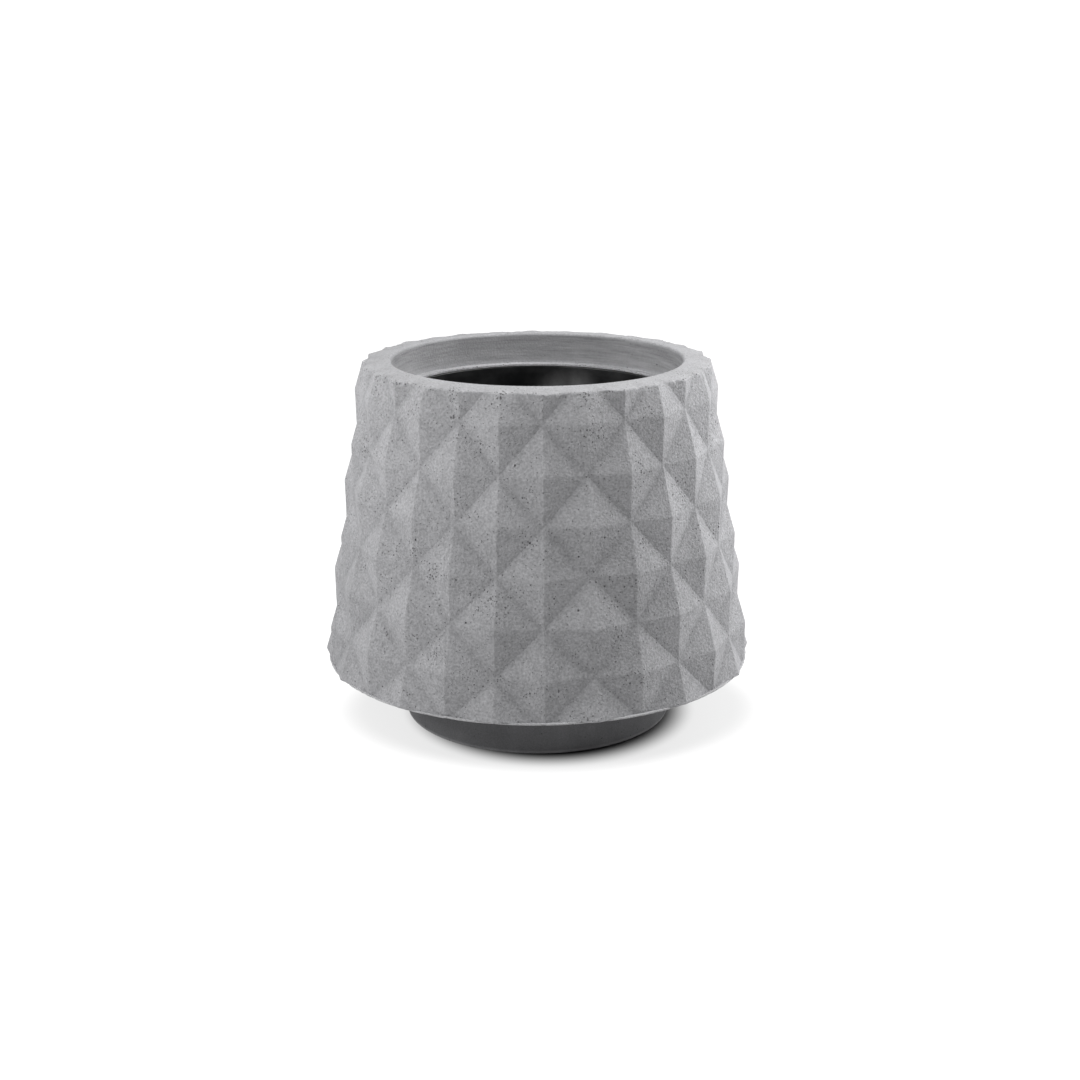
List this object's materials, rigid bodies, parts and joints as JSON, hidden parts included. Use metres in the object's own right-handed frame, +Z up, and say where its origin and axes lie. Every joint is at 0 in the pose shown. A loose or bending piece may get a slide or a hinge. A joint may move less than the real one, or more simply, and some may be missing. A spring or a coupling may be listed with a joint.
{
  "type": "round planter",
  "caption": "Round tapered concrete planter with a diamond relief, a flat rim, an inner ledge, a lift-out black tub with a drain, and a dark recessed plinth.",
  "frame": {"origin": "on the ground under the foot pads, on the axis of the planter", "axes": "+Z up along the axis, -Y towards the viewer in the picture, +X to the viewer's right"},
  "size_m": [0.9022, 0.886, 0.76],
  "materials": {
    "concrete": "cast, matte, fine grain with small pores",
    "dark_concrete": "cast, matte, dark grey all through",
    "rubber": "matte",
    "zinc_steel": "zinc plated",
    "black_plastic": "satin, rotationally moulded"
  },
  "bodies": {
    "planter": {"shell": "concrete", "plinth": "dark_concrete", "bedding_ring": "rubber", "plinth_sockets": "zinc_steel", "plinth_bolts": "zinc_steel", "plinth_washers": "zinc_steel", "foot_pads": "rubber", "lifting_sockets": "zinc_steel", "socket_caps": "black_plastic"},
    "tub": {"liner": "black_plastic", "drain_outlet": "black_plastic", "drain_seal": "rubber", "drain_nut": "black_plastic"},
    "strainer": {"drain_strainer": "black_plastic"}
  },
  "joints": [
    {"name": "tub_lift", "type": "slide", "parent": "planter", "child": "tub", "axis": [0, 0, 1], "range_m": [0, 0.56]},
    {"name": "strainer_lift", "type": "slide", "parent": "tub", "child": "strainer", "axis": [0, 0, 1], "range_m": [0, 0.5]}
  ]
}
